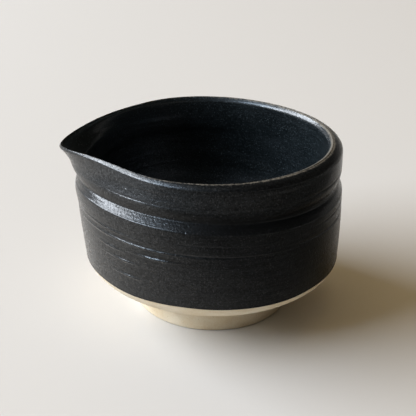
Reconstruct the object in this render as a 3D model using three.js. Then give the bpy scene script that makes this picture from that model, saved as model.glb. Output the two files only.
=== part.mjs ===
// Wheel-thrown stoneware tea bowl. One pouring lip is pulled out of the rim, a step is cut round the wall,
// a foot ring is luted under the floor, and black glaze covers the inside, and the outside down to a line
// above the heel.
// +Z is up, the spout points along -X, and the bowl stands on the plane Z = 0.
import * as THREE from "three";

// Driving dimensions, in millimetres. Heights start at the standing face of the foot. The rim and the wall
// are measured on the outside of the glaze, before the clay is pulled towards the spout. Insets, depths and
// fullness are measured from the wall, rises from the edge of the step, and drops from the glaze line.
const HEIGHT = 80;
const RIM_LENGTH = 115.4;
const RIM_WIDTH = 107.2;
const LIP_THICKNESS = 5;
const LIP_CREST_INSET = 3.4;
const LIP_OUTER_ROUND = 2.6;
const LIP_INNER_ROUND = 1.6;
const WALL_RADIUS = 58.5;
const WALL_THICKNESS = 5.4;
const BELLY_FULLNESS = 0.7;
const STEP_HEIGHT = 60.7;
const COVE_DEPTH = 2.8;
const COVE_RISE = 3.2;
const NECK_THICKNESS = 4.2;
const COLLAR_INSET = 1.8;
const COLLAR_RISE = 8.3;
const GLAZE_LINE_HEIGHT = 25;
const HEEL_INSET = 5.1;
const HEEL_DROP = 6;
const FLOOR_THICKNESS = 6.5;
const FOOT_RADIUS = 36;
const FOOT_FLARE = 0.7;
const FOOT_WIDTH = 5.6;
const FOOT_HEIGHT = 9.2;
const FOOT_CHAMFER = 0.5;
const GLAZE_THICKNESS = 0.5;

// The potter's hand: pulled spout, a pinch on each side of it, the belly under it and the slanted step.
const SPOUT_REACH = 12.2;
const SPOUT_DIP = 3.8;
const SPOUT_DEPTH = 19;
const SPOUT_HALF_ANGLE = THREE.MathUtils.degToRad(17.6);
const SPOUT_BLUNTNESS = 1.7;
const PINCH_DEPTH = 1.5;
const PINCH_ANGLE = THREE.MathUtils.degToRad(42);
const PINCH_SPREAD = THREE.MathUtils.degToRad(17);
const BELLY_SWELL = 3.2;
const STEP_SLANT = 1.6;

// Clearances: under each glaze coat, between the two coats on the crest of the lip, and in the slip joint.
const GLAZE_GAP = 0.2;
const CREST_GAP = 0.3;
const SLIP_GAP = 0.2;

// Facets: flats round the bowl, and how strongly they crowd towards the spout.
const FLATS = 60;
const CROWDING = 0.6;

const RIM_RADIUS = (RIM_LENGTH + RIM_WIDTH) / 4;
const RIM_OVAL = (RIM_LENGTH - RIM_WIDTH) / 4;
const RIM_HEIGHT = HEIGHT - LIP_OUTER_ROUND;
const COVE_RADIUS = WALL_RADIUS - COVE_DEPTH;
const COVE_HEIGHT = STEP_HEIGHT + COVE_RISE;
const BELLY_HEIGHT = (STEP_HEIGHT + GLAZE_LINE_HEIGHT) / 2;
const SEAT_HEIGHT = FOOT_HEIGHT + SLIP_GAP;
const FLOOR_HEIGHT = SEAT_HEIGHT + FLOOR_THICKNESS;

const clay = new THREE.MeshStandardMaterial({ color: 0xd2c1a0, roughness: 0.9, metalness: 0 });
const footClay = new THREE.MeshStandardMaterial({ color: 0xcbb896, roughness: 0.92, metalness: 0 });
const outerBlack = new THREE.MeshStandardMaterial({ color: 0x17181a, roughness: 0.45, metalness: 0 });
const innerBlack = new THREE.MeshStandardMaterial({ color: 0x101215, roughness: 0.4, metalness: 0 });

// Points along a chain of Bezier spans, each given by its control points, its end and its number of steps.
function traceSpans(start, spans) {
  const points = [start];
  for (const { controls, end, steps } of spans) {
    const [first, second] = controls;
    const from = points[points.length - 1];
    const curve = second
      ? new THREE.CubicBezierCurve(from, first, second, end)
      : new THREE.QuadraticBezierCurve(from, first, end);
    points.push(...curve.getPoints(steps).slice(1));
  }
  return points;
}

const at = (radius, height) => new THREE.Vector2(radius, height);

// Outside of the outer glaze, from the glaze line over belly, step and collar to the crest of the lip.
function traceOutside() {
  const belly = at(WALL_RADIUS + BELLY_FULLNESS, BELLY_HEIGHT);
  const stepEdge = at(WALL_RADIUS, STEP_HEIGHT);
  const cove = at(COVE_RADIUS, COVE_HEIGHT);
  const collar = at(WALL_RADIUS - COLLAR_INSET, STEP_HEIGHT + COLLAR_RISE);
  const rim = at(RIM_RADIUS, RIM_HEIGHT);
  const belowCollar = (cove.y + collar.y) / 2;
  const aboveCollar = (collar.y + rim.y) / 2;
  const crest = at(RIM_RADIUS - LIP_CREST_INSET, HEIGHT);
  return traceSpans(at(WALL_RADIUS, GLAZE_LINE_HEIGHT), [
    { controls: [belly], end: stepEdge, steps: 5 },
    { controls: [at(cove.x, STEP_HEIGHT + COVE_RISE / 3)], end: cove, steps: 3 },
    { controls: [at(cove.x, belowCollar), at(collar.x, belowCollar)], end: collar, steps: 3 },
    { controls: [at(collar.x, aboveCollar), at(rim.x, aboveCollar)], end: rim, steps: 3 },
    { controls: [at(rim.x, HEIGHT)], end: crest, steps: 4 },
  ]);
}

// Inside of the inner glaze, from the crest of the lip down the wall and over the floor to the axis.
function traceInside() {
  const crest = at(RIM_RADIUS - LIP_CREST_INSET, HEIGHT);
  const throat = at(RIM_RADIUS - LIP_THICKNESS, HEIGHT - LIP_INNER_ROUND);
  const neck = at(COVE_RADIUS - NECK_THICKNESS, COVE_HEIGHT);
  const wall = at(WALL_RADIUS - WALL_THICKNESS, BELLY_HEIGHT);
  const floor = at(0, FLOOR_HEIGHT);
  return traceSpans(crest, [
    { controls: [at(throat.x, HEIGHT)], end: throat, steps: 3 },
    { controls: [at(throat.x, (throat.y + neck.y) / 2)], end: neck, steps: 3 },
    { controls: [at(wall.x, (neck.y + wall.y) / 2)], end: wall, steps: 3 },
    { controls: [at(wall.x, floor.y), at(wall.x / 2, floor.y)], end: floor, steps: 7 },
  ]);
}

// The same line moved into the clay by a depth, square to itself. The point on the axis stays on the axis.
function moveInwards(points, depth) {
  return points.map((point, i) => {
    const before = points[Math.max(i - 1, 0)];
    const after = points[Math.min(i + 1, points.length - 1)];
    const arriving = point.clone().sub(i > 0 ? before : after).multiplyScalar(i > 0 ? 1 : -1).normalize();
    const leaving = after.clone().sub(i < points.length - 1 ? point : before).normalize();
    const along = arriving.clone().add(leaving).normalize();
    const reach = depth / along.dot(arriving);
    const radius = point.x === 0 ? 0 : point.x - along.y * reach;
    return at(radius, point.y + along.x * reach);
  });
}

// Where the hand leaves a point that was thrown at this radius, height and angle from the spout line.
function pullClay(radius, height, angle) {
  const aboveStep = THREE.MathUtils.clamp((height - STEP_HEIGHT) / (RIM_HEIGHT - STEP_HEIGHT), 0, 1);
  const belly = THREE.MathUtils.smoothstep(height, FLOOR_HEIGHT, STEP_HEIGHT) * (1 - aboveStep);
  const underSpout = ((1 + Math.cos(angle)) / 2) ** 2;
  const towardsRim = THREE.MathUtils.clamp((height - RIM_HEIGHT + SPOUT_DEPTH) / SPOUT_DEPTH, 0, 1);
  const beak = Math.exp(-((Math.abs(angle) / SPOUT_HALF_ANGLE) ** SPOUT_BLUNTNESS)) * towardsRim ** 2;
  const pinch = Math.exp(-(((Math.abs(angle) - PINCH_ANGLE) / PINCH_SPREAD) ** 2)) * towardsRim ** 2;
  const oval = RIM_OVAL * Math.cos(2 * angle) * aboveStep;
  const swell = BELLY_SWELL * belly * underSpout;
  const pulled = radius + oval + swell + SPOUT_REACH * beak - PINCH_DEPTH * pinch;
  const raised = height + STEP_SLANT * Math.cos(angle) * belly - SPOUT_DIP * beak;
  return new THREE.Vector3(-pulled * Math.cos(angle), -pulled * Math.sin(angle), raised);
}

// Each four-sided facet is split along its shorter diagonal, so that the faces of nested pieces stay alike.
function splitAlongShorter(geometry) {
  const index = geometry.getIndex();
  const position = geometry.getAttribute("position");
  const corner = (vertex) => new THREE.Vector3().fromBufferAttribute(position, vertex);
  for (let i = 0; i < index.count; i += 6) {
    const [a, b, d, c] = [0, 1, 2, 3].map((k) => index.getX(i + k));
    if (corner(a).distanceTo(corner(c)) < corner(b).distanceTo(corner(d))) {
      [a, b, c, a, c, d].forEach((vertex, k) => index.setX(i + k, vertex));
    }
  }
}

// A thrown piece: its profile turned once round the axis, then pulled to its final shape.
function throwPiece(name, profile, material) {
  const geometry = new THREE.LatheGeometry(profile, FLATS);
  geometry.deleteAttribute("normal");
  geometry.deleteAttribute("uv");
  const position = geometry.getAttribute("position");
  const thrown = new THREE.Vector3();
  for (let i = 0; i < position.count; i += 1) {
    thrown.fromBufferAttribute(position, i);
    const turn = Math.atan2(thrown.x, thrown.z);
    const pulled = pullClay(Math.hypot(thrown.x, thrown.z), thrown.y, turn - CROWDING * Math.sin(turn));
    position.setXYZ(i, pulled.x, pulled.y, pulled.z);
  }
  splitAlongShorter(geometry);
  geometry.computeVertexNormals();
  const mesh = new THREE.Mesh(geometry, material);
  mesh.name = name;
  return mesh;
}

const outside = traceOutside();
const surface = [...outside, ...traceInside().slice(1)];
const crestIndex = outside.length - 1;
const glazeBack = moveInwards(surface, GLAZE_THICKNESS);
const clayFace = moveInwards(surface, GLAZE_THICKNESS + GLAZE_GAP);

// A coat's two faces end on the crest, each coat keeping half of the crest gap on its own side.
function cutAtCrest(points, side) {
  const crest = points[side > 0 ? points.length - 1 : 0];
  return points.map((point) => (point === crest ? at(point.x + (side * CREST_GAP) / 2, point.y) : point));
}

function makeOuterGlaze() {
  const front = cutAtCrest(surface.slice(0, crestIndex + 1), 1);
  const back = cutAtCrest(glazeBack.slice(0, crestIndex + 1), 1);
  return throwPiece("outer_glaze", [...front, ...back.reverse(), front[0]], outerBlack);
}

function makeInnerGlaze() {
  const front = cutAtCrest(surface.slice(crestIndex), -1);
  const back = cutAtCrest(glazeBack.slice(crestIndex), -1);
  return throwPiece("inner_glaze", [...back.reverse(), ...front], innerBlack);
}

// The clay under both coats, closed below by the bare heel, the sloping underside and the seat of the foot.
function makeClayBody() {
  const seat = [at(0, SEAT_HEIGHT), at(FOOT_RADIUS + FOOT_FLARE, SEAT_HEIGHT)];
  const bareEdge = clayFace[0];
  const turn = at(WALL_RADIUS - HEEL_INSET, GLAZE_LINE_HEIGHT - HEEL_DROP);
  const heel = traceSpans(turn, [
    { controls: [at(bareEdge.x, (turn.y + bareEdge.y) / 2)], end: bareEdge, steps: 3 },
  ]);
  return throwPiece("clay_body", [...seat, ...heel, ...clayFace.slice(1)], clay);
}

// The foot ring, flat below, with a chamfered standing face and a slight flare up to its seat.
function makeFootRing() {
  const inner = FOOT_RADIUS - FOOT_WIDTH;
  const profile = [
    at(inner + FOOT_CHAMFER, 0),
    at(FOOT_RADIUS - FOOT_CHAMFER, 0),
    at(FOOT_RADIUS, FOOT_CHAMFER),
    at(FOOT_RADIUS + FOOT_FLARE, FOOT_HEIGHT),
    at(inner - FOOT_FLARE, FOOT_HEIGHT),
    at(inner, FOOT_CHAMFER),
    at(inner + FOOT_CHAMFER, 0),
  ];
  return throwPiece("foot_ring", profile, footClay);
}

// The bowl stands centred: its overall box has its bottom centre at the origin.
const bowl = new THREE.Group();
bowl.add(makeClayBody(), makeFootRing(), makeOuterGlaze(), makeInnerGlaze());
const centre = new THREE.Box3().setFromObject(bowl).getCenter(new THREE.Vector3());
bowl.position.set(-centre.x, -centre.y, 0);

const teaBowl = new THREE.Group();
teaBowl.add(bowl);

export default teaBowl;
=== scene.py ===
"""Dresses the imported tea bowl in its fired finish.

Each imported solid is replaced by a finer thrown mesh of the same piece: the two coats of black glaze, the
bare clay under them and the foot ring. Throwing lines, tool marks and the step are in the meshes, and grain
and pits are in the materials. Lengths are in millimetres until they reach Blender, and angles start at the
spout.
"""

import logging
import math
from dataclasses import dataclass, field
from enum import Enum
from typing import ClassVar, Sequence

import bpy
import numpy as np
from mathutils import Matrix, Vector, noise


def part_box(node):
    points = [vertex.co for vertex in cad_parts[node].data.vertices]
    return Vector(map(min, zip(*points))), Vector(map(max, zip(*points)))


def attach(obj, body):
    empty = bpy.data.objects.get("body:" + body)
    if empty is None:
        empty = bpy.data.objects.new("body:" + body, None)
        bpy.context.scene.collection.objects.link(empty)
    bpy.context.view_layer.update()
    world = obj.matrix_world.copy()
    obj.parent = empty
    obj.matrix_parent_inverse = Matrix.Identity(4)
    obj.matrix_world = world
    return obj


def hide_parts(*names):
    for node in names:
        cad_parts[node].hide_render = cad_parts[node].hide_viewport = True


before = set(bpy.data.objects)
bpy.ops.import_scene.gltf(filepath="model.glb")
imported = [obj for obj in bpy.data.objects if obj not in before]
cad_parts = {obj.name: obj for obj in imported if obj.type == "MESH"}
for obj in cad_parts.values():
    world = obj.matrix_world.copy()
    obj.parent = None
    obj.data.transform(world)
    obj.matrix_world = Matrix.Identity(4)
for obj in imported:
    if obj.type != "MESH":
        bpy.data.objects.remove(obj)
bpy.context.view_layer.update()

LOG = logging.getLogger("tea_bowl")
MM = 0.001
BODY = "root"

ON_AXIS = 1e-6
NO_LENGTH = 1e-9
FEWEST_ROWS = 2

Array = np.ndarray
Colour = tuple[float, float, float]
Triple = tuple[float, float, float]
Point = tuple[float, float]
Range = tuple[float, float]
Size = tuple[float, float]
Socket = bpy.types.NodeSocket


class Slot(Enum):
    """The record's material slots."""

    BARE_CLAY = "bare_clay"
    FOOT_CLAY = "foot_clay"
    OUTER_GLAZE = "outer_glaze"
    INNER_GLAZE = "inner_glaze"


class Face(Enum):
    """Whether a stretch of a profile carries the marks of the wheel."""

    MARKED = 1.0
    PLAIN = 0.0


@dataclass(frozen=True)
class Span:
    """One Bezier stretch of a profile.

    Attributes:
        controls: The control points between the stretch's ends, as radius and height.
        end: Where the stretch ends.
        steps: How many rows of faces it has at full fineness.
    """

    controls: tuple[Point, ...]
    end: Point
    steps: int


def trace(start: Point, spans: Sequence[Span], fineness: float = 1.0) -> Array:
    """Follows a chain of Bezier stretches.

    Args:
        start: First point, as radius and height.
        spans: The stretches in order.
        fineness: Factor on the number of rows.

    Returns:
        One row per point, as radius and height.
    """
    points = [np.array(start, float)]
    for span in spans:
        polygon = np.array([points[-1], *span.controls, span.end], float)
        steps = max(FEWEST_ROWS, round(span.steps * fineness))
        for t in np.linspace(0.0, 1.0, steps + 1)[1:]:
            level = polygon
            while len(level) > 1:
                level = level[:-1] * (1.0 - t) + level[1:] * t
            points.append(level[0])
    return np.array(points)


def normals_of(line: Array) -> Array:
    """Unit normals on the right-hand side of a line of radius and height points.

    Args:
        line: The points.

    Returns:
        One normal per point, without a radial part on the axis.
    """
    along = np.gradient(line, axis=0)
    across = np.stack([along[:, 1], -along[:, 0]], axis=1)
    across[line[:, 0] < ON_AXIS, 0] = 0.0
    return across / np.maximum(np.linalg.norm(across, axis=1, keepdims=True), NO_LENGTH)


def ease(value: Array, softness: float) -> Array:
    """Lets a rising value come to rest at 1 without a corner.

    Args:
        value: The values, rising from 0.
        softness: How far before and after 1 the bend reaches.

    Returns:
        The values, none above 1.
    """
    left = np.clip(1.0 + softness - value, 0.0, 2.0 * softness)
    return np.minimum(value, 1.0 - softness) + softness - left**2 / (4.0 * softness)


@dataclass(frozen=True)
class BowlShape:
    """Sizes of the thrown bowl, in millimetres.

    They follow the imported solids, with a finer section of the lip, the collar and the cove. Insets, depths
    and fullness are measured from the wall, rises from the edge of the step, and drops from the glaze line.
    The fullness of the lip, the sweep of the cove and the thinness of the crest are shares.
    """

    height: float = 79.8
    rim_level: float = 77.4
    rim_length: float = 115.4
    rim_width: float = 107.2
    lip_thickness: float = 6.9
    lip_crest_inset: float = 4.8
    lip_outer_round: float = 3.1
    lip_inner_round: float = 2.6
    lip_outer_fullness: float = 0.36
    lip_inner_fullness: float = 0.36
    wall_radius: float = 58.5
    wall_thickness: float = 5.4
    belly_fullness: float = 0.7
    step_height: float = 60.7
    step_round: float = 0.5
    ledge_hollow: float = -0.03
    cove_depth: float = 2.5
    cove_rise: float = 3.2
    cove_sweep: float = 0.5
    neck_thickness: float = 5.9
    collar_inset: float = 1.95
    collar_rise: float = 8.3
    collar_fullness: float = 0.08
    glaze_line: float = 25.0
    glaze_edge_depth: float = 0.5
    glaze_depth: float = 1.15
    glaze_full_rise: float = 20.0
    glaze_bead: float = 0.4
    crest_thinness: float = 0.2
    crest_reach: float = 1.4
    break_offset: float = 0.5
    break_reach: float = 0.7
    # Reach of the painted shade in the cove, which darkens the glaze colour there.
    cove_shade_reach: float = 2.4
    heel_inset: float = 5.1
    heel_drop: float = 6.0
    foot_radius: float = 36.0
    foot_flare: float = 0.7
    foot_width: float = 5.6
    foot_chamfer: float = 1.3
    seat_height: float = 9.4
    floor_height: float = 15.9

    @property
    def rim_radius(self) -> float:
        """Mean outside radius of the rim."""
        return (self.rim_length + self.rim_width) / 4.0

    @property
    def rim_height(self) -> float:
        """Height of the widest line of the lip."""
        return self.height - self.lip_outer_round

    @property
    def crest(self) -> Point:
        """Highest point of the lip, where the two coats of glaze meet."""
        return self.rim_radius - self.lip_crest_inset, self.height

    @property
    def cove(self) -> Point:
        """Deepest point of the groove above the step."""
        return self.wall_radius - self.cove_depth, self.step_height + self.cove_rise

    def depth(self, line: Array) -> Array:
        """How deep the coat is drawn into the clay: thin at the glaze line, deeper above it.

        Args:
            line: Points of the coat's face.

        Returns:
            One depth per point, as a column.
        """
        rise = np.clip((line[:, 1:] - self.glaze_line) / self.glaze_full_rise, 0.0, 1.0)
        return self.glaze_edge_depth + (self.glaze_depth - self.glaze_edge_depth) * rise

    def thinness(self, line: Array, edge: float) -> Array:
        """How thin the glaze has run over the lip, and how much painted shade darkens the cove.

        Args:
            line: Points of the coat's face.
            edge: How strongly it breaks along the inner edge of the crest.

        Returns:
            0 where the coat is full, up to about 1 where it breaks, and below 0 where shade is painted into
            the cove.
        """
        from_crest = np.linalg.norm(line - np.array(self.crest), axis=1)
        from_cove = np.linalg.norm(line - np.array(self.cove), axis=1)
        thinned = self.crest_thinness * np.exp(-((from_crest / self.crest_reach) ** 2))
        broken = edge * np.exp(-(((from_crest - self.break_offset) / self.break_reach) ** 2))
        # Subtracting near the cove paints shade into the groove above the step.
        return thinned + broken - np.exp(-((from_cove / self.cove_shade_reach) ** 2))

    def outside(self, fineness: float = 1.0) -> Array:
        """Traces the outer glaze from the glaze line to the crest of the lip.

        Args:
            fineness: Factor on the number of rows.

        Returns:
            Points of radius and height.
        """
        wall, step, cove = self.wall_radius, self.step_height, self.cove
        collar = (wall - self.collar_inset, step + self.collar_rise)
        rim = (self.rim_radius, self.rim_height)
        belly = (step + self.glaze_line) / 2.0
        below = (cove[1] + collar[1]) / 2.0
        lean = ((collar[0] + rim[0]) / 2.0 + self.collar_fullness, (collar[1] + rim[1]) / 2.0)
        ledge = (wall - self.step_round, step + self.step_round)
        hollow = (
            (ledge[0] + cove[0]) / 2.0 - self.ledge_hollow,
            (ledge[1] + cove[1]) / 2.0 - self.ledge_hollow,
        )
        bend = (
            cove[0] + self.cove_sweep * (cove[0] - hollow[0]),
            cove[1] + self.cove_sweep * (cove[1] - hollow[1]),
        )
        full = self.lip_outer_fullness
        rise = full * (self.height - rim[1])
        outer_round = (
            (rim[0] + rise * (rim[0] - lean[0]) / (rim[1] - lean[1]), rim[1] + rise),
            (self.crest[0] + full * (rim[0] - self.crest[0]), self.height),
        )
        return trace(
            (wall, self.glaze_line + self.glaze_bead),
            [
                Span(((wall + self.belly_fullness, belly),), (wall, step - self.step_round), 170),
                Span(((wall, step),), ledge, 6),
                Span((hollow,), cove, 22),
                Span((bend, (collar[0], below)), collar, 24),
                Span((lean,), rim, 36),
                Span(outer_round, self.crest, 26),
            ],
            fineness,
        )

    def inside(self, fineness: float = 1.0) -> Array:
        """Traces the inner glaze from the crest of the lip to the middle of the floor.

        Args:
            fineness: Factor on the number of rows.

        Returns:
            Points of radius and height.
        """
        throat = (self.rim_radius - self.lip_thickness, self.height - self.lip_inner_round)
        neck = (self.cove[0] - self.neck_thickness, self.cove[1])
        wall = (self.wall_radius - self.wall_thickness, (self.step_height + self.glaze_line) / 2.0)
        floor = (0.0, self.floor_height)
        full = self.lip_inner_fullness
        inner_round = (
            (self.crest[0] - full * (self.crest[0] - throat[0]), self.height),
            (throat[0], throat[1] + full * (self.height - throat[1])),
        )
        return trace(
            self.crest,
            [
                Span(inner_round, throat, 24),
                Span(((throat[0], (throat[1] + neck[1]) / 2.0),), neck, 50),
                Span(((wall[0], (neck[1] + wall[1]) / 2.0),), wall, 72),
                Span(((wall[0], floor[1]), (wall[0] / 2.0, floor[1])), floor, 130),
            ],
            fineness,
        )


@dataclass(frozen=True)
class Smear:
    """Clay that the thumb moves under the spout, in millimetres and degrees.

    Attributes:
        height: Thrown height of its middle.
        rise: How far it reaches up and down.
        angle: How far it reaches round from the spout.
        fill: How much clay it adds, or takes away where negative.
    """

    height: float
    rise: float
    angle: float
    fill: float


@dataclass(frozen=True)
class PottersHand:
    """How the thrown wall is pulled out of round, in millimetres and degrees.

    Softness, bluntness, gather, the drop of the tip and crowding have no unit. Crowding draws the faces
    together towards the spout.
    """

    shape: BowlShape
    spout_reach: float = 12.2
    lip_thinning: float = 4.6
    lip_thinning_angle: float = 110.0
    lip_bluntness: int = 4
    lip_gather: float = 1.15
    lip_softness: float = 0.2
    lip_lift: float = 2.0
    lip_lift_reach: float = 2.1
    tip_drop: float = 0.6
    smears: tuple[Smear, ...] = (
        Smear(65.5, 5.5, 34.0, 2.4),
        Smear(57.0, 3.6, 42.0, 0.65),
        Smear(61.0, 1.8, 25.0, -0.8),
    )
    spout_dip: float = 4.7
    spout_depth: float = 19.0
    spout_half_angle: float = 17.6
    spout_bluntness: float = 1.7
    spout_softness: float = 0.2
    collar_softness: float = 0.1
    pinch_depth: float = 1.5
    pinch_angle: float = 42.0
    pinch_spread: float = 17.0
    belly_swell: float = 3.2
    step_slant: float = 2.6
    step_dip: float = 2.6
    step_dip_angle: float = 28.0
    crowding: float = 0.35

    def pull(self, radius: Array, height: Array, angle: Array) -> Array:
        """Moves thrown points to where the hand leaves them.

        Args:
            radius: Thrown radii.
            height: Thrown heights.
            angle: Angles from the spout, in radians.

        Returns:
            Rows of x, y and z about the wheel's axis.
        """
        shape = self.shape
        step, rim = shape.step_height, shape.rim_level
        oval = (shape.rim_length - shape.rim_width) / 4.0
        above_step = ease(np.clip((height - step) / (rim - step), 0.0, None), self.collar_softness)
        rise = np.clip((height - shape.floor_height) / (step - shape.floor_height), 0.0, 1.0)
        belly = rise**2 * (3.0 - 2.0 * rise) * (1.0 - above_step)
        under_spout = ((1.0 + np.cos(angle)) / 2.0) ** 2
        up_spout = np.clip((height - rim + self.spout_depth) / self.spout_depth, 0.0, None)
        towards_rim = ease(up_spout**2, self.spout_softness)
        turn = np.degrees(np.abs(angle))
        beak = np.exp(-((turn / self.spout_half_angle) ** self.spout_bluntness)) * towards_rim
        pinch = np.exp(-(((turn - self.pinch_angle) / self.pinch_spread) ** 2)) * towards_rim
        pulled = radius + oval * np.cos(2.0 * angle) * above_step + self.belly_swell * belly * under_spout
        pulled = pulled + self.spout_reach * beak - self.pinch_depth * pinch
        within = np.clip((shape.rim_radius - radius) / shape.lip_thickness, 0.0, 1.0)
        thinned = np.exp(-((turn / self.lip_thinning_angle) ** self.lip_bluntness)) * towards_rim
        pulled = pulled + self.lip_thinning * thinned * ease(self.lip_gather * within, self.lip_softness)
        for smear in self.smears:
            reach = ((height - smear.height) / smear.rise) ** 2 + (turn / smear.angle) ** 2
            pulled = pulled + smear.fill * np.exp(-reach)
        raised = height + self.step_slant * np.cos(angle) * belly - self.spout_dip * beak
        at_rim = np.exp(-(((height - shape.rim_height) / self.lip_lift_reach) ** 2))
        raised = raised + self.lip_lift * (under_spout - self.tip_drop * beak) * at_rim
        raised = raised - self.step_dip * np.exp(-((turn / self.step_dip_angle) ** 2)) * belly
        return np.stack([-pulled * np.cos(angle), -pulled * np.sin(angle), raised], axis=1)


@dataclass(frozen=True)
class RingWave:
    """A family of uneven rings that fingers or tools leave on the turning clay.

    Attributes:
        length: Distance from ring to ring, along the profile.
        depth: How far the rings stand out or cut in.
        turns: How quickly they change on the way round the bowl.
        seed: Where in the noise they start.
    """

    length: float
    depth: float
    turns: float
    seed: float


@dataclass(frozen=True)
class TurnedLine:
    """One line that a tool cut or a finger raised round part of the wall.

    Attributes:
        height: Thrown height of the line.
        depth: How far it cuts in, or stands out where negative.
        width: Half of its width.
        facing: Angle from the spout where it is deepest, in degrees.
        spread: How far round it runs from there, in degrees.
    """

    height: float
    depth: float
    width: float
    facing: float
    spread: float


@dataclass(frozen=True)
class WheelMarks:
    """All the marks of the wheel on one piece.

    Attributes:
        waves: The families of rings.
        lines: The single lines.
        sink: How far the face is set in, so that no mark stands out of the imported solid.
        calm_radius: Inside this radius the marks fade towards the axis.
    """

    waves: tuple[RingWave, ...]
    lines: tuple[TurnedLine, ...] = ()
    sink: float = 0.0
    calm_radius: float = 20.0

    def relief(self, profile: "Profile", rows: Array, angle: Array) -> Array:
        """Works out how far each point stands out of its smooth profile.

        Args:
            profile: The piece's profile.
            rows: Each point's place on the profile.
            angle: Each point's angle from the spout, in radians.

        Returns:
            Heights of the relief along the normals.
        """
        near_axis = np.minimum(1.0, profile.radius[rows] / self.calm_radius)
        total = np.full(len(rows), -self.sink)
        for wave in self.waves:
            out = wave.turns * near_axis
            along = profile.arc[rows] / wave.length + wave.seed
            spots = np.stack([out * np.cos(angle), out * np.sin(angle), along], axis=1)
            total += wave.depth * np.array([noise.noise(spot) for spot in spots.tolist()])
        for line in self.lines:
            away = np.abs(np.mod(np.degrees(angle) - line.facing + 180.0, 360.0) - 180.0)
            level = (profile.height[rows] - line.height) / line.width
            total -= line.depth * np.exp(-(level**2) - (away / line.spread) ** 2)
        return total * profile.marked[rows]


@dataclass
class Profile:
    """A closed profile, ready to be spun.

    Attributes:
        line: Points of radius and height.
        marked: How much of the wheel's marks each point carries.
        thin: How thin the glaze has run at each point, below 0 where shade is painted into the cove.
        normals: Unit normal at each point.
        arc: Distance of each point along the line.
    """

    line: Array
    marked: Array
    thin: Array
    normals: Array = field(init=False)
    arc: Array = field(init=False)

    def __post_init__(self) -> None:
        """Works out the normals and the distance along the line."""
        self.normals = normals_of(self.line)
        lengths = np.linalg.norm(np.diff(self.line, axis=0), axis=1)
        self.arc = np.concatenate([[0.0], np.cumsum(lengths)])

    @property
    def radius(self) -> Array:
        """Thrown radius of each point."""
        return self.line[:, 0]

    @property
    def height(self) -> Array:
        """Thrown height of each point."""
        return self.line[:, 1]


def join(*stretches: tuple[Array, Face]) -> tuple[Array, Array]:
    """Puts stretches of profile end to end.

    Args:
        stretches: Points of each stretch, and whether they carry marks.

    Returns:
        All the points, and how much of the marks each carries.
    """
    line = np.concatenate([points for points, _ in stretches])
    marked = np.concatenate([np.full(len(points), face.value) for points, face in stretches])
    return line, marked


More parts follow.
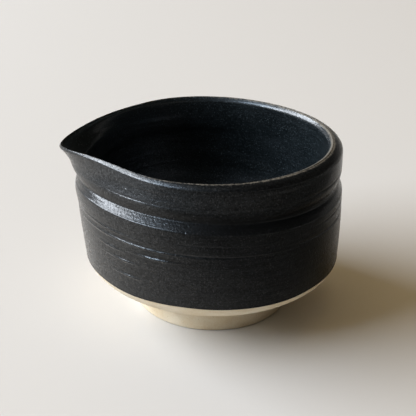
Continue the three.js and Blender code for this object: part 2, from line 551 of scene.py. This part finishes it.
class NodeSheet:
    """The node tree of a material or of the room, written from left to right."""

    def __init__(self, owner: bpy.types.Material | bpy.types.World) -> None:
        """Opens the owner's node tree.

        Args:
            owner: The material or world to write.
        """
        owner.use_nodes = True
        self.tree = owner.node_tree
        self.shader = self.tree.nodes.get("Principled BSDF")
        self.place = self.add("ShaderNodeTexCoord").outputs["Object"]

    def add(self, kind: str, links: dict[str, Socket] | None = None, **settings: object) -> bpy.types.Node:
        """Adds one node.

        Args:
            kind: Blender's name for the node.
            links: Sockets to join to its inputs, by input name.
            settings: Values of its inputs or of its own properties, by name.

        Returns:
            The node.
        """
        node = self.tree.nodes.new(kind)
        for key, value in settings.items():
            if hasattr(node, key):
                setattr(node, key, value)
            else:
                node.inputs[key].default_value = value
        for key, source in (links or {}).items():
            self.tree.links.new(source, node.inputs[key])
        return node

    def cloud(self, scale: Triple, detail: float = 2.0, roughness: float = 0.5) -> Socket:
        """Adds noise that is stretched along the axes.

        Args:
            scale: Features per metre along x, y and z.
            detail: Number of finer layers.
            roughness: Strength of the finer layers.

        Returns:
            The noise, from 0 to 1.
        """
        mapping = self.add("ShaderNodeMapping", {"Vector": self.place}, Scale=scale)
        links = {"Vector": mapping.outputs["Vector"]}
        texture = self.add("ShaderNodeTexNoise", links, Detail=detail, Roughness=roughness)
        texture.inputs["Scale"].default_value = 1.0
        return texture.outputs["Fac"]

    def spots(self, scale: float, edge: float) -> Socket:
        """Adds small round spots.

        Args:
            scale: Cells per metre.
            edge: Radius of a spot, as a share of its cell.

        Returns:
            1 in the middle of a spot and 0 outside it.
        """
        cells = self.add("ShaderNodeTexVoronoi", {"Vector": self.place}, Scale=scale)
        return self.share(cells.outputs["Distance"], edge, 0.0)

    def share(self, value: Socket, low: float, high: float) -> Socket:
        """Maps a value so that low becomes 0 and high becomes 1."""
        return self.span(value, low, high, 0.0, 1.0)

    def span(self, value: Socket, low: float, high: float, to_low: float, to_high: float) -> Socket:
        """Maps a value from one range to another and clamps it.

        Args:
            value: The value.
            low: Start of its range.
            high: End of its range.
            to_low: What the start becomes.
            to_high: What the end becomes.

        Returns:
            The mapped value.
        """
        node = self.add("ShaderNodeMapRange", {"Value": value})
        ends = {"From Min": low, "From Max": high, "To Min": to_low, "To Max": to_high}
        for name, number in ends.items():
            node.inputs[name].default_value = number
        return node.outputs["Result"]

    def sum(self, *terms: tuple[Socket, float]) -> Socket:
        """Adds weighted values.

        Args:
            terms: Pairs of value and weight.

        Returns:
            The weighted sum.
        """
        total = None
        for value, weight in terms:
            scaled = self.add("ShaderNodeMath", {"Value": value}, operation="MULTIPLY")
            scaled.inputs[1].default_value = weight
            if total is None:
                total = scaled.outputs["Value"]
                continue
            node = self.add("ShaderNodeMath", {"Value": total}, operation="ADD")
            self.tree.links.new(scaled.outputs["Value"], node.inputs[1])
            total = node.outputs["Value"]
        return total

    def blend(self, amount: Socket, first: Colour | Socket, second: Colour) -> Socket:
        """Mixes two colours.

        Args:
            amount: Share of the second colour.
            first: The first colour, or a socket that gives it.
            second: The second colour.

        Returns:
            The mixed colour.
        """
        node = self.add("ShaderNodeMix", data_type="RGBA")
        self.tree.links.new(amount, node.inputs["Factor"])
        colour_a, colour_b = (s for s in node.inputs if s.type == "RGBA")
        if isinstance(first, Socket):
            self.tree.links.new(first, colour_a)
        else:
            colour_a.default_value = (*first, 1.0)
        colour_b.default_value = (*second, 1.0)
        return next(s for s in node.outputs if s.type == "RGBA")

    def emboss(self, height: Socket, depth: float, strength: float) -> None:
        """Bumps the shader's surface.

        Args:
            height: The relief, from 0 to 1.
            depth: What 1 means, in millimetres.
            strength: How much of it shows.
        """
        bump = self.add("ShaderNodeBump", {"Height": height}, Distance=depth * MM, Strength=strength)
        self.tree.links.new(bump.outputs["Normal"], self.shader.inputs["Normal"])
        self.tree.links.new(bump.outputs["Normal"], self.shader.inputs["Coat Normal"])

    def feed(self, name: str, value: Socket) -> None:
        """Joins a value to the shader's input of that name."""
        self.tree.links.new(value, self.shader.inputs[name])


@dataclass(frozen=True)
class GlazeFinish:
    """Satin black glaze that breaks to a dull buff where it runs thin, and is painted blacker in the cove as
    shade.

    Scales are features per metre, sizes of spots are shares of their cells, and a range says between which
    values of a pattern its effect comes in. The relief is in millimetres.
    """

    name: str
    black: Colour = (0.0022, 0.0026, 0.003)
    haze: Colour = (0.0105, 0.0124, 0.0136)
    broken: Colour = (0.215, 0.2, 0.172)
    fleck: Colour = (0.036, 0.037, 0.038)
    smooth: float = 0.34
    dull: float = 0.5
    specular: float = 0.24
    gloss: float = 0.64
    patchy: float = 0.36
    gloss_roughness: float = 0.2
    relief: float = 0.165
    comb_scale: Triple = (22.0, 22.0, 1500.0)
    run_scale: Triple = (420.0, 420.0, 30.0)
    grain_scale: Triple = (1000.0, 1000.0, 1000.0)
    dust_scale: Triple = (1700.0, 1700.0, 1700.0)
    cloud_scale: Triple = (70.0, 70.0, 160.0)
    pit_scale: float = 430.0
    pit_size: float = 0.22
    grit_scale: float = 640.0
    grit_size: float = 0.26
    haze_range: Range = (0.43, 0.6)
    fleck_range: Range = (0.6, 0.8)
    grain_range: Range = (0.35, 0.65)
    break_range: Range = (0.3, 1.0)
    gloss_range: Range = (0.4, 0.6)
    dull_range: Range = (0.38, 0.62)
    raggedness: float = 0.3

    def material(self) -> bpy.types.Material:
        """Builds the glaze.

        Returns:
            The material.
        """
        material = bpy.data.materials.new(self.name)
        sheet = NodeSheet(material)
        sheet.shader.inputs["Specular IOR Level"].default_value = self.specular
        sheet.shader.inputs["Coat Roughness"].default_value = self.gloss_roughness
        combed = sheet.cloud(self.comb_scale, detail=3.0)
        runs = sheet.cloud(self.run_scale)
        grain = sheet.cloud(self.grain_scale, roughness=0.6)
        dust = sheet.cloud(self.dust_scale, detail=1.0)
        clouds = sheet.cloud(self.cloud_scale, detail=3.0)
        pits = sheet.spots(self.pit_scale, self.pit_size)
        grit = sheet.spots(self.grit_scale, self.grit_size)
        # thin: how thin the glaze runs, and below 0 the painted shade of the cove, which blackens the colours
        # below.
        thin = sheet.add("ShaderNodeAttribute", attribute_name="thin").outputs["Fac"]
        sandy = sheet.sum((grain, 0.6), (dust, 0.4))
        bloom = sheet.sum((sandy, 0.55), (clouds, 0.15), (combed, 0.3), (thin, 0.3))
        hazed = sheet.blend(sheet.share(bloom, *self.haze_range), self.black, self.haze)
        sparse = sheet.sum((dust, 1.0), (thin, 0.2))
        flecked = sheet.blend(sheet.share(sparse, *self.fleck_range), hazed, self.fleck)
        uneven = sheet.span(grain, *self.grain_range, -self.raggedness, self.raggedness)
        ragged = sheet.sum((thin, 1.0), (uneven, 1.0))
        sheet.feed("Base Color", sheet.blend(sheet.share(ragged, *self.break_range), flecked, self.broken))
        shine = sheet.span(sandy, *self.gloss_range, self.gloss - self.patchy, self.gloss + self.patchy)
        sheet.feed("Coat Weight", shine)
        dullness = sheet.sum((clouds, 0.35), (grain, 0.25), (dust, 0.4))
        sheet.feed("Roughness", sheet.span(dullness, *self.dull_range, self.smooth, self.dull))
        height = sheet.sum((combed, 0.32), (runs, 0.1), (grain, 0.7), (pits, -0.45), (grit, 0.2))
        sheet.emboss(height, self.relief, 1.0)
        return material


@dataclass(frozen=True)
class ClayFinish:
    """Bare fired stoneware with a fine sandy grain, measured as the glaze is."""

    name: str
    pale: Colour = (0.85, 0.765, 0.615)
    warm: Colour = (0.76, 0.63, 0.43)
    speck: Colour = (0.35, 0.25, 0.14)
    roughness: float = 0.85
    specular: float = 0.2
    relief: float = 0.12
    relief_strength: float = 0.8
    grain_scale: Triple = (1300.0, 1300.0, 1300.0)
    turned_scale: Triple = (60.0, 60.0, 1900.0)
    cloud_scale: Triple = (60.0, 60.0, 110.0)
    speck_scale: float = 520.0
    speck_size: float = 0.16
    speck_share: float = 0.7
    speck_range: Range = (0.2, 1.0)
    warm_range: Range = (0.38, 0.64)

    def material(self) -> bpy.types.Material:
        """Builds the clay.

        Returns:
            The material.
        """
        material = bpy.data.materials.new(self.name)
        sheet = NodeSheet(material)
        sheet.shader.inputs["Specular IOR Level"].default_value = self.specular
        sheet.shader.inputs["Roughness"].default_value = self.roughness
        grain = sheet.cloud(self.grain_scale, detail=4.0, roughness=0.65)
        turned = sheet.cloud(self.turned_scale)
        clouds = sheet.cloud(self.cloud_scale, detail=3.0)
        specks = sheet.spots(self.speck_scale, self.speck_size)
        tone = sheet.sum((clouds, 0.65), (grain, 0.35))
        buff = sheet.blend(sheet.share(tone, *self.warm_range), self.pale, self.warm)
        specked = sheet.span(specks, *self.speck_range, 0.0, self.speck_share)
        sheet.feed("Base Color", sheet.blend(specked, buff, self.speck))
        sheet.emboss(sheet.sum((grain, 0.6), (turned, 0.4)), self.relief, self.relief_strength)
        return material


@dataclass
class ThrownPiece:
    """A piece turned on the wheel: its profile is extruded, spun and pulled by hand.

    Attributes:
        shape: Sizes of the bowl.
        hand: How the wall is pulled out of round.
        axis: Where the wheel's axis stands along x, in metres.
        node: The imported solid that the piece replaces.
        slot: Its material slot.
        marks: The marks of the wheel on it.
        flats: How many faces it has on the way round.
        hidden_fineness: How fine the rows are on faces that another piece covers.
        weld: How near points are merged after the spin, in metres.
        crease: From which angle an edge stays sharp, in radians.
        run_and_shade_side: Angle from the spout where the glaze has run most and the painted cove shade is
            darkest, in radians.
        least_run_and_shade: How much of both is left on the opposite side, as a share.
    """

    shape: BowlShape
    hand: PottersHand
    axis: float
    node: ClassVar[str]
    slot: ClassVar[Slot]
    marks: ClassVar[WheelMarks]
    flats: ClassVar[int] = 264
    hidden_fineness: ClassVar[float] = 0.2
    weld: ClassVar[float] = 2e-6
    crease: ClassVar[float] = math.radians(50.0)
    run_and_shade_side: ClassVar[float] = math.radians(148.0)
    least_run_and_shade: ClassVar[float] = 0.35

    def profile(self) -> Profile:
        """Gives the closed profile."""
        raise NotImplementedError

    def settle(self, points: Array, profile: Profile, rows: Array, angle: Array) -> Array:
        """Leaves the pulled points as they are, unless a piece has something of its own to add."""
        return points

    def build(self, finish: bpy.types.Material) -> bpy.types.Object:
        """Models the piece, dresses it and sets it on its body.

        Args:
            finish: The piece's material.

        Returns:
            The finished piece.
        """
        profile = self.profile()
        piece = self.extrude(profile)
        self.spin(piece)
        self.pull(piece, profile)
        bpy.ops.object.shade_smooth_by_angle(angle=self.crease)
        piece.data.materials.append(finish)
        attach(piece, BODY)
        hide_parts(self.node)
        LOG.info("%s: %d faces", piece.name, len(piece.data.polygons))
        return piece

    def extrude(self, profile: Profile) -> bpy.types.Object:
        """Draws the profile as a chain of edges, from a small plane merged to one point.

        Args:
            profile: The profile to draw.

        Returns:
            An object that holds the chain, with each point's row on it.
        """
        bpy.ops.object.select_all(action="DESELECT")
        bpy.ops.mesh.primitive_plane_add(size=MM)
        piece = bpy.context.object
        piece.name = piece.data.name = f"{self.node}_fired"
        places = [Vector((self.axis - radius * MM, 0.0, height * MM)) for radius, height in profile.line]
        bpy.ops.object.mode_set(mode="EDIT")
        bpy.ops.mesh.merge(type="CENTER")
        bpy.ops.transform.translate(value=places[0])
        for before, after in zip(places, places[1:]):
            bpy.ops.mesh.extrude_region_move(TRANSFORM_OT_translate={"value": after - before})
        bpy.ops.object.mode_set(mode="OBJECT")
        rows = piece.data.attributes.new("row", "INT", "POINT")
        rows.data.foreach_set("value", np.arange(len(places), dtype=np.int32))
        return piece

    def spin(self, piece: bpy.types.Object) -> None:
        """Turns the chain once round the wheel's axis and closes it.

        Args:
            piece: The object that holds the chain.
        """
        bpy.ops.object.mode_set(mode="EDIT")
        bpy.ops.mesh.select_all(action="SELECT")
        centre = (self.axis, 0.0, 0.0)
        bpy.ops.mesh.spin(steps=self.flats, angle=math.tau, center=centre, axis=(0.0, 0.0, 1.0))
        bpy.ops.mesh.select_all(action="SELECT")
        bpy.ops.mesh.remove_doubles(threshold=self.weld)
        bpy.ops.mesh.normals_make_consistent(inside=False)
        bpy.ops.object.mode_set(mode="OBJECT")

    def pull(self, piece: bpy.types.Object, profile: Profile) -> None:
        """Adds the wheel's marks and pulls the wall and the spout to their shape.

        Args:
            piece: The spun piece.
            profile: Its profile.
        """
        mesh = piece.data
        rows = np.empty(len(mesh.vertices), np.int32)
        mesh.attributes["row"].data.foreach_get("value", rows)
        spun = np.empty(len(rows) * 3, np.float32)
        mesh.vertices.foreach_get("co", spun)
        spun = spun.reshape(-1, 3)
        turn = np.arctan2(-spun[:, 1], self.axis - spun[:, 0])
        angle = turn - self.hand.crowding * np.sin(turn)
        relief = self.marks.relief(profile, rows, angle)
        marked = profile.line[rows] + profile.normals[rows] * relief[:, None]
        points = self.hand.pull(marked[:, 0], marked[:, 1], angle)
        points = self.settle(points, profile, rows, angle) * MM
        points[:, 0] += self.axis
        mesh.vertices.foreach_set("co", points.astype(np.float32).ravel())
        # Below 0 the thin attribute is painted shade in the cove, weighted by side like the thin glaze.
        thin = mesh.attributes.new("thin", "FLOAT", "POINT")
        towards_side = (1.0 + np.cos(angle - self.run_and_shade_side)) / 2.0
        run_and_shade = self.least_run_and_shade + (1.0 - self.least_run_and_shade) * towards_side
        thin.data.foreach_set("value", (profile.thin[rows] * run_and_shade).astype(np.float32))
        mesh.attributes.remove(mesh.attributes["row"])
        mesh.update()


@dataclass
class OuterGlaze(ThrownPiece):
    """The coat outside, from the wavy glaze line to the crest of the lip.

    Attributes:
        broken: How strongly the glaze breaks beside the crest.
        wander: How far the glaze line moves up and down, in millimetres.
        wander_turns: How quickly it moves on the way round.
        wander_fade: How far above the line the movement is felt, in millimetres.
        wander_seed: Where in the noise it starts.
    """

    node: ClassVar[str] = "outer_glaze"
    slot: ClassVar[Slot] = Slot.OUTER_GLAZE
    marks: ClassVar[WheelMarks] = WheelMarks(
        waves=(
            RingWave(length=0.9, depth=0.02, turns=3.0, seed=3.0),
            RingWave(length=2.3, depth=0.035, turns=2.4, seed=11.0),
            RingWave(length=7.0, depth=0.08, turns=2.0, seed=23.0),
        ),
        lines=(
            TurnedLine(height=75.9, depth=0.15, width=0.9, facing=112.0, spread=42.0),
            TurnedLine(height=69.5, depth=0.06, width=0.4, facing=50.0, spread=22.0),
            TurnedLine(height=68.9, depth=-0.04, width=0.35, facing=49.0, spread=9.0),
            TurnedLine(height=70.2, depth=0.2, width=0.4, facing=150.0, spread=30.0),
            TurnedLine(height=64.7, depth=0.6, width=1.5, facing=160.0, spread=40.0),
            TurnedLine(height=55.2, depth=0.12, width=0.4, facing=100.0, spread=30.0),
            TurnedLine(height=52.9, depth=-0.42, width=0.5, facing=44.0, spread=15.0),
            TurnedLine(height=50.4, depth=0.42, width=0.5, facing=93.0, spread=26.0),
            TurnedLine(height=50.0, depth=-0.55, width=0.55, facing=54.0, spread=24.0),
            TurnedLine(height=46.2, depth=-0.55, width=0.5, facing=66.0, spread=8.0),
            TurnedLine(height=45.0, depth=-0.42, width=0.5, facing=44.0, spread=6.0),
            TurnedLine(height=34.3, depth=-0.5, width=0.5, facing=53.0, spread=7.0),
            TurnedLine(height=41.0, depth=-0.5, width=0.5, facing=51.0, spread=7.0),
            TurnedLine(height=52.5, depth=0.36, width=0.5, facing=152.0, spread=25.0),
            TurnedLine(height=57.5, depth=0.3, width=0.4, facing=165.0, spread=25.0),
            TurnedLine(height=54.6, depth=0.16, width=0.45, facing=262.0, spread=40.0),
            TurnedLine(height=48.8, depth=0.2, width=0.45, facing=238.0, spread=30.0),
            TurnedLine(height=42.4, depth=0.18, width=0.45, facing=285.0, spread=26.0),
            TurnedLine(height=36.0, depth=0.2, width=0.45, facing=222.0, spread=24.0),
            TurnedLine(height=51.2, depth=-0.35, width=0.5, facing=318.0, spread=16.0),
            TurnedLine(height=40.2, depth=-0.3, width=0.5, facing=322.0, spread=10.0),
        ),
        sink=0.12,
    )
    broken: ClassVar[float] = 0.7
    wander: ClassVar[float] = 0.55
    wander_turns: ClassVar[float] = 2.6
    wander_fade: ClassVar[float] = 2.5
    wander_seed: ClassVar[float] = 5.0

    def profile(self) -> Profile:
        """Draws the bead at the glaze line, the coat's face and its back.

        Returns:
            The closed profile.
        """
        shape = self.shape
        face = shape.outside()
        coarse = shape.outside(self.hidden_fineness)
        back = coarse - normals_of(coarse) * shape.depth(coarse)
        start = (shape.wall_radius - shape.glaze_edge_depth, shape.glaze_line)
        bead = trace(start, [Span(((shape.wall_radius, shape.glaze_line),), tuple(face[0]), 4)])
        line, marked = join(
            (bead[:-1], Face.PLAIN),
            (face, Face.MARKED),
            (back[:0:-1], Face.PLAIN),
            (bead[:1], Face.PLAIN),
        )
        thin = np.zeros(len(line))
        front = slice(len(bead) - 1, len(bead) - 1 + len(face))
        thin[front] = shape.thinness(face, self.broken)
        return Profile(line, marked, thin)

    def settle(self, points: Array, profile: Profile, rows: Array, angle: Array) -> Array:
        """Lets the glaze line wander a little up and down.

        Args:
            points: The pulled points.
            profile: The coat's profile.
            rows: Each point's place on the profile.
            angle: Each point's angle from the spout, in radians.

        Returns:
            The points with a wavy lower edge.
        """
        near = np.exp(-np.maximum(profile.height[rows] - self.shape.glaze_line, 0.0) / self.wander_fade)
        out = self.wander_turns
        waves = [
            noise.noise((out * math.cos(turn), out * math.sin(turn), self.wander_seed))
            for turn in angle.tolist()
        ]
        points[:, 2] += self.wander * np.array(waves) * near
        return points


@dataclass
class InnerGlaze(ThrownPiece):
    """The coat inside, from the crest of the lip over the wall and the floor.

    Attributes:
        broken: How strongly the glaze breaks beside the crest.
    """

    node: ClassVar[str] = "inner_glaze"
    slot: ClassVar[Slot] = Slot.INNER_GLAZE
    marks: ClassVar[WheelMarks] = WheelMarks(
        waves=(
            RingWave(length=1.1, depth=0.05, turns=2.5, seed=5.0),
            RingWave(length=3.0, depth=0.11, turns=1.6, seed=17.0),
            RingWave(length=9.0, depth=0.16, turns=0.9, seed=29.0),
        ),
    )
    flats: ClassVar[int] = 280
    broken: ClassVar[float] = 0.9

    def profile(self) -> Profile:
        """Draws the coat's back from the axis to the crest, and its face from there to the axis.

        Returns:
            The closed profile.
        """
        shape = self.shape
        face = shape.inside()
        coarse = shape.inside(self.hidden_fineness)
        back = coarse - normals_of(coarse) * shape.glaze_depth
        line, marked = join((back[::-1], Face.PLAIN), (face, Face.MARKED))
        thin = np.zeros(len(line))
        thin[len(back) :] = shape.thinness(face, self.broken)
        return Profile(line, marked, thin)


@dataclass
class ClayBody(ThrownPiece):
    """The clay wall and floor, bare below the glaze line.

    Attributes:
        overlap: How far the clay reaches into the back of the coats, in millimetres.
    """

    node: ClassVar[str] = "clay_body"
    slot: ClassVar[Slot] = Slot.BARE_CLAY
    marks: ClassVar[WheelMarks] = WheelMarks(
        waves=(
            RingWave(length=0.8, depth=0.03, turns=3.0, seed=7.0),
            RingWave(length=2.6, depth=0.07, turns=1.5, seed=19.0),
        ),
    )
    flats: ClassVar[int] = 256
    overlap: ClassVar[float] = 0.06

    def profile(self) -> Profile:
        """Draws the underside, the bare heel and the clay under the glaze.

        Returns:
            The closed profile.
        """
        shape = self.shape
        outer, inner = shape.outside(self.hidden_fineness), shape.inside(self.hidden_fineness)
        skin = np.concatenate([outer, inner[1:]])
        skin = skin - normals_of(skin) * (shape.depth(skin) - self.overlap)
        bare_edge = tuple(skin[0])
        turn = (shape.wall_radius - shape.heel_inset, shape.glaze_line - shape.heel_drop)
        seat = (shape.foot_radius + shape.foot_flare, shape.seat_height)
        heel = (bare_edge[0], (turn[1] + bare_edge[1]) / 2.0)
        ceiling = trace((0.0, shape.seat_height), [Span((), seat, 74)])
        slope = trace(seat, [Span((), turn, 46), Span((heel,), bare_edge, 24)])
        line, marked = join((ceiling, Face.MARKED), (slope[1:], Face.MARKED), (skin[1:], Face.PLAIN))
        return Profile(line, marked, np.zeros(len(line)))


@dataclass
class FootRing(ThrownPiece):
    """The turned ring that the bowl stands on.

    Attributes:
        overlap: How far its hidden top reaches into the clay above, in millimetres.
    """

    node: ClassVar[str] = "foot_ring"
    slot: ClassVar[Slot] = Slot.FOOT_CLAY
    marks: ClassVar[WheelMarks] = WheelMarks(
        waves=(
            RingWave(length=0.7, depth=0.035, turns=3.0, seed=13.0),
            RingWave(length=2.2, depth=0.06, turns=1.5, seed=31.0),
        ),
    )
    flats: ClassVar[int] = 256
    overlap: ClassVar[float] = 0.05

    def profile(self) -> Profile:
        """Draws the standing face, the outer wall, the hidden top and the inner wall.

        Returns:
            The closed profile.
        """
        shape = self.shape
        outer, inner = shape.foot_radius, shape.foot_radius - shape.foot_width
        chamfer, top = shape.foot_chamfer, shape.seat_height + self.overlap
        standing = trace((inner + chamfer, 0.0), [Span((), (outer - chamfer, 0.0), 12)])
        wall = trace(
            tuple(standing[-1]),
            [Span(((outer, 0.0),), (outer, chamfer), 5), Span((), (outer + shape.foot_flare, top), 36)],
        )
        hollow = trace(
            (inner - shape.foot_flare, top),
            [Span((), (inner, chamfer), 36), Span(((inner, 0.0),), tuple(standing[0]), 5)],
        )
        line, marked = join((standing, Face.PLAIN), (wall[1:], Face.MARKED), (hollow, Face.MARKED))
        return Profile(line, marked, np.zeros(len(line)))

    def settle(self, points: Array, profile: Profile, rows: Array, angle: Array) -> Array:
        """Rubs the standing face flat.

        Args:
            points: The pulled points.
            profile: The ring's profile; not used.
            rows: Each point's place on the profile; not used.
            angle: Each point's angle from the spout, in radians; not used.

        Returns:
            The points, none of them below the table.
        """
        points[:, 2] = np.maximum(points[:, 2], 0.0)
        return points


@dataclass(frozen=True)
class Studio:
    """A pale floor, one wide window to the left, sky that only the glaze mirrors, a weak fill and the camera.

    The floor, the lights and the near clip are measured in metres, powers in watts, the sensor, the
    camera's distance and its aim in millimetres, and its angles in degrees. A way points from the bowl to a
    light, or weighs the axes of a gradient, and a range says where along it the gradient runs.

    Attributes:
        axis: Where the wheel's axis stands along x, in metres.
    """

    axis: float
    floor_colour: Colour = (0.71, 0.71, 0.708)
    floor_size: float = 8.0
    floor_roughness: float = 0.9
    floor_specular: float = 0.1
    shade_colour: Colour = (0.05, 0.053, 0.053)
    shade_way: Point = (0.82, -0.78)
    shade_range: Range = (-0.03, 0.14)
    light_distance: float = 4.0
    window_way: Triple = (-0.84, 0.03, 0.54)
    window_size: Size = (4.8, 1.38)
    window_power: float = 304.0
    window_colour: Colour = (0.86, 0.92, 1.0)
    sky_way: Triple = (-0.66, -0.52, 0.57)
    sky_size: Size = (2.2, 1.5)
    sky_power: float = 90.0
    sky_colour: Colour = (0.62, 0.8, 1.0)
    fill_colour: Colour = (0.8, 0.59, 0.32)
    fill_low: Colour = (0.012, 0.009, 0.005)
    fill_way: Triple = (-0.4, 0.25, 0.85)
    fill_range: Range = (0.35, 1.0)
    wall_colour: Colour = (0.4, 0.39, 0.37)
    ceiling_colour: Colour = (0.012, 0.014, 0.016)
    ceiling_range: Range = (0.0, 0.3)
    focal_pixels: float = 1000.0
    frame_pixels: float = 416.0
    sensor: float = 36.0
    camera_distance: float = 462.4
    camera_elevation: float = 26.36
    camera_roll: float = 1.05
    aim_aside: float = -2.26
    aim_height: float = 43.85
    near_clip: float = 0.01

    def lay_floor(self) -> None:
        """Lays the plain floor, which the glaze mirrors dimly on the side away from the window."""
        bpy.ops.object.select_all(action="DESELECT")
        bpy.ops.mesh.primitive_plane_add(size=self.floor_size)
        floor = bpy.context.object
        floor.name = "floor"
        material = bpy.data.materials.new("pale_floor")
        sheet = NodeSheet(material)
        sheet.shader.inputs["Roughness"].default_value = self.floor_roughness
        sheet.shader.inputs["Specular IOR Level"].default_value = self.floor_specular
        place = sheet.add("ShaderNodeSeparateXYZ", {"Vector": sheet.place})
        away = sheet.sum(*zip(place.outputs, self.shade_way))
        mirrored = sheet.add("ShaderNodeLightPath").outputs["Is Glossy Ray"]
        far = sheet.share(away, *self.shade_range)
        shade = sheet.add("ShaderNodeMath", {"Value": far}, operation="MULTIPLY")
        sheet.tree.links.new(mirrored, shade.inputs[1])
        sheet.feed("Base Color", sheet.blend(shade.outputs["Value"], self.floor_colour, self.shade_colour))
        floor.data.materials.append(material)

    def hang(self, name: str, way: Triple, size: Size, power: float, colour: Colour) -> bpy.types.Object:
        """Hangs one soft light that faces the bowl.

        Args:
            name: What it stands for.
            way: Where it hangs, seen from the bowl.
            size: Its width and height, in metres.
            power: Its power, in watts.
            colour: Its colour.

        Returns:
            The light.
        """
        out = Vector(way).normalized()
        data = bpy.data.lights.new(name, "AREA")
        data.shape = "RECTANGLE"
        data.size, data.size_y = size
        data.energy = power
        data.color = colour
        light = bpy.data.objects.new(name, data)
        light.location = Vector((self.axis, 0.0, self.aim_height * MM)) + out * self.light_distance
        light.rotation_euler = out.to_track_quat("Z", "Y").to_euler()
        bpy.context.scene.collection.objects.link(light)
        return light

    def light_room(self) -> None:
        """Fills the room with weak warm light from above.

        The glaze mirrors another room, pale at table height and dark above, and the camera sees the floor's
        colour behind the bowl.
        """
        world = bpy.data.worlds.new("room")
        bpy.context.scene.world = world
        sheet = NodeSheet(world)
        fill = sheet.tree.nodes["Background"]
        way = sheet.add("ShaderNodeSeparateXYZ", {"Vector": sheet.place})
        far_side = sheet.sum(*zip(way.outputs, self.fill_way))
        overhead = sheet.blend(sheet.share(far_side, *self.fill_range), self.fill_low, self.fill_colour)
        sheet.tree.links.new(overhead, fill.inputs["Color"])
        height = sheet.share(way.outputs["Z"], *self.ceiling_range)
        mirrored = sheet.blend(height, self.wall_colour, self.ceiling_colour)
        walls = sheet.add("ShaderNodeBackground", {"Color": mirrored})
        backdrop = sheet.add("ShaderNodeBackground", Color=(*self.floor_colour, 1.0))
        path = sheet.add("ShaderNodeLightPath")
        lit = sheet.add("ShaderNodeMixShader", {"Fac": path.outputs["Is Glossy Ray"]})
        seen = sheet.add("ShaderNodeMixShader", {"Fac": path.outputs["Is Camera Ray"]})
        sheet.tree.links.new(fill.outputs["Background"], lit.inputs[1])
        sheet.tree.links.new(walls.outputs["Background"], lit.inputs[2])
        sheet.tree.links.new(lit.outputs["Shader"], seen.inputs[1])
        sheet.tree.links.new(backdrop.outputs["Background"], seen.inputs[2])
        sheet.tree.links.new(seen.outputs["Shader"], sheet.tree.nodes["World Output"].inputs["Surface"])

    def set_camera(self) -> None:
        """Stands the camera at the photograph's viewpoint."""
        tilt, roll = math.radians(self.camera_elevation), math.radians(self.camera_roll)
        ahead = Vector((0.0, math.cos(tilt), -math.sin(tilt)))
        up = Vector((0.0, math.sin(tilt), math.cos(tilt)))
        right = Vector((1.0, 0.0, 0.0))
        rolled_right = right * math.cos(roll) + up * math.sin(roll)
        rolled_up = up * math.cos(roll) - right * math.sin(roll)
        data = bpy.data.cameras.new("camera")
        data.sensor_width = self.sensor
        data.lens = self.focal_pixels / self.frame_pixels * self.sensor
        data.clip_start = self.near_clip
        camera = bpy.data.objects.new("camera", data)
        aim = Vector((self.axis + self.aim_aside * MM, 0.0, self.aim_height * MM))
        turned = Matrix((rolled_right, rolled_up, -ahead)).transposed()
        camera.matrix_world = Matrix.Translation(aim - ahead * self.camera_distance * MM) @ turned.to_4x4()
        bpy.context.scene.collection.objects.link(camera)
        bpy.context.scene.camera = camera

    def build(self) -> None:
        """Sets up floor, lights, camera and plain colours."""
        self.lay_floor()
        self.hang("window", self.window_way, self.window_size, self.window_power, self.window_colour)
        sky = self.hang("sky", self.sky_way, self.sky_size, self.sky_power, self.sky_colour)
        sky.visible_diffuse = False
        self.light_room()
        self.set_camera()
        bpy.context.scene.view_settings.view_transform = "Standard"


def main() -> None:
    """Builds the studio and the pieces."""
    logging.basicConfig(level=logging.INFO, format="%(name)s: %(message)s")
    low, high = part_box("foot_ring")
    axis = (low.x + high.x) / 2.0
    shape = BowlShape()
    hand = PottersHand(shape)
    Studio(axis).build()
    clay = ClayFinish("bare_clay").material()
    # The foot's clay is a little darker and warmer than the wall's: painted shade under the overhang.
    foot_clay = ClayFinish("foot_clay", pale=(0.85, 0.76, 0.6), warm=(0.74, 0.6, 0.39)).material()
    outer = GlazeFinish("outer_satin_black").material()
    inner = GlazeFinish(
        "inner_satin_black",
        black=(0.003, 0.0055, 0.007),
        haze=(0.0075, 0.013, 0.0165),
        fleck=(0.06, 0.08, 0.093),
        specular=0.36,
        gloss=0.76,
        patchy=0.24,
        gloss_roughness=0.17,
        relief=0.13,
    ).material()
    ClayBody(shape, hand, axis).build(clay)
    FootRing(shape, hand, axis).build(foot_clay)
    OuterGlaze(shape, hand, axis).build(outer)
    InnerGlaze(shape, hand, axis).build(inner)


if __name__ == "__main__":
    main()
